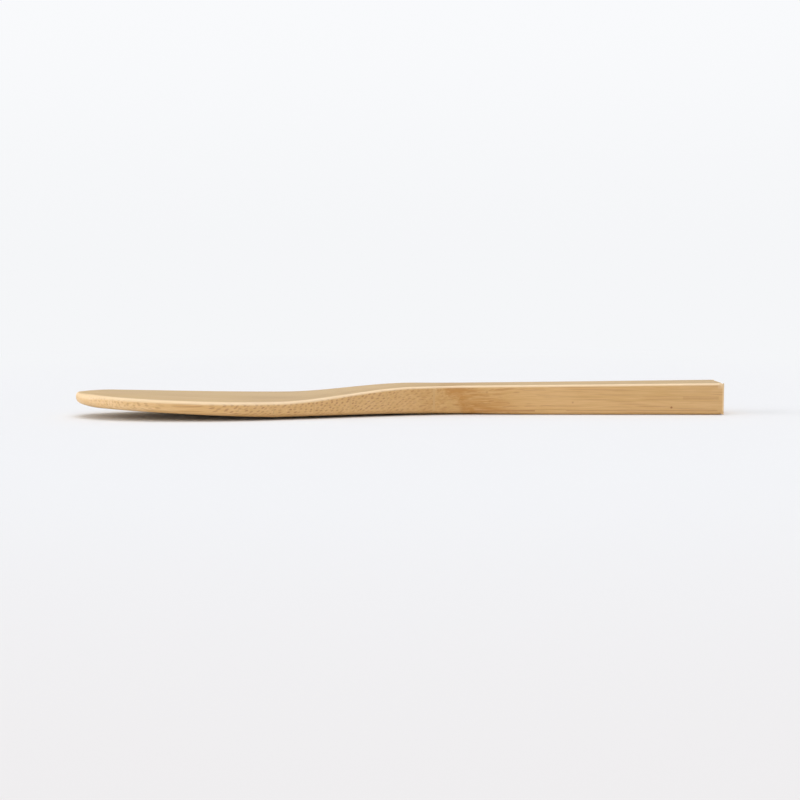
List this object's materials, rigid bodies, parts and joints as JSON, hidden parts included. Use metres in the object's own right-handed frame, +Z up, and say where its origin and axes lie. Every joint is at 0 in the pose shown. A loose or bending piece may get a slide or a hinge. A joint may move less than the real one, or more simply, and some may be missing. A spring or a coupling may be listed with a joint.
{
  "type": "bamboo spatula",
  "caption": "Flat cooking spatula of upright bamboo strips glued face to face, with a square handle and a broad one-sided blade curling up to a round tip.",
  "frame": {"origin": "on the table, under the middle of the spatula's overall length and width", "axes": "+X along the handle, away from the blade; +Y to the blade's narrower side; +Z up from the table"},
  "size_m": [0.3, 0.0612, 0.0148],
  "materials": {
    "bamboo": "fine-sanded bamboo with a thin satin oil finish",
    "glue": "hardened amber wood glue, sanded flush"
  },
  "bodies": {
    "root": {"near_strip_5": "bamboo", "near_strip_4": "bamboo", "near_strip_3": "bamboo", "near_strip_2": "bamboo", "near_strip_1": "bamboo", "handle_strip_1": "bamboo", "handle_strip_2": "bamboo", "handle_strip_3": "bamboo", "handle_strip_4": "bamboo", "far_strip_1": "bamboo", "far_strip_2": "bamboo", "near_glue_line_5": "glue", "near_glue_line_4": "glue", "near_glue_line_3": "glue", "near_glue_line_2": "glue", "near_glue_line_1": "glue", "handle_glue_line_1": "glue", "handle_glue_line_2": "glue", "handle_glue_line_3": "glue", "far_glue_line_1": "glue", "far_glue_line_2": "glue"}
  },
  "joints": []
}
